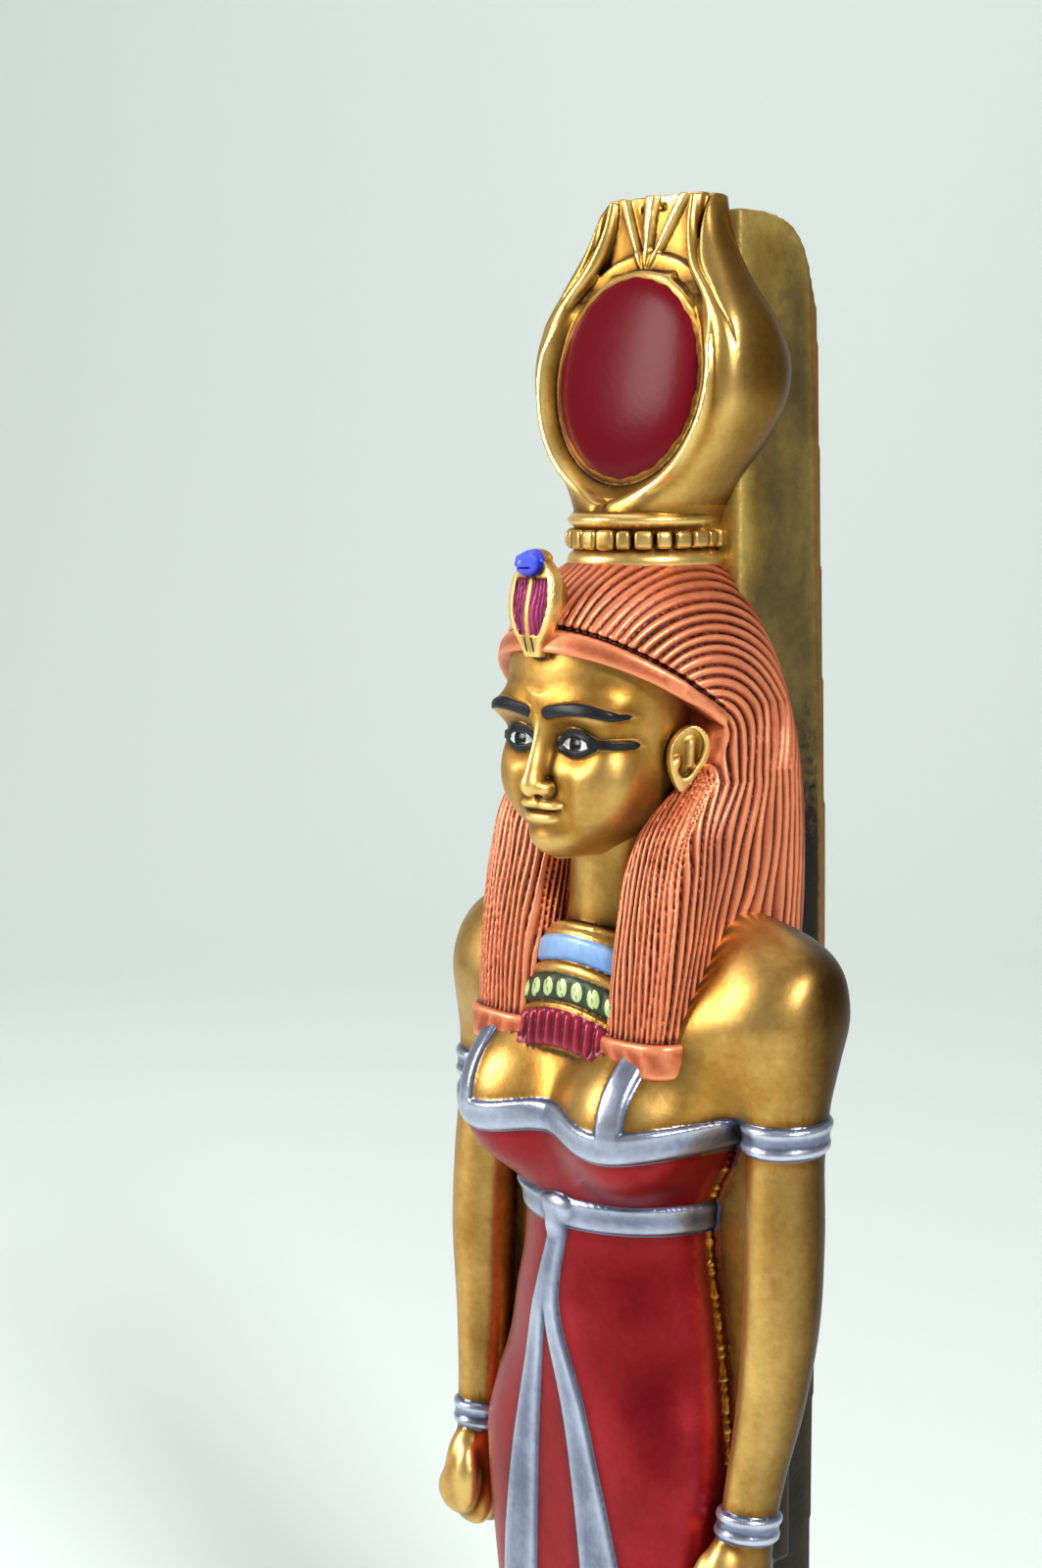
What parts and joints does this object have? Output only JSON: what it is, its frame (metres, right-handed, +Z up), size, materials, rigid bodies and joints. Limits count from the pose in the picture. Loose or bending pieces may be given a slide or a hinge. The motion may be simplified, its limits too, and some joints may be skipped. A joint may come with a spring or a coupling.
{
  "type": "hathor statue",
  "caption": "Standing goddess statuette with a horned disk headdress, long wig and sheath dress, arms at the sides, on a narrow back pillar and low base.",
  "frame": {"origin": "centre of the base's underside footprint, on the floor", "axes": "+Z up along the figure, -Y the way the figure faces, +X towards the figure's left hand"},
  "size_m": [0.0782, 0.06, 0.3],
  "materials": {
    "painted_resin": "cold-cast resin painted in antique gold with copper, dark red, silver, black and blue areas"
  },
  "bodies": {
    "root": {"statue": "painted_resin"}
  },
  "joints": []
}
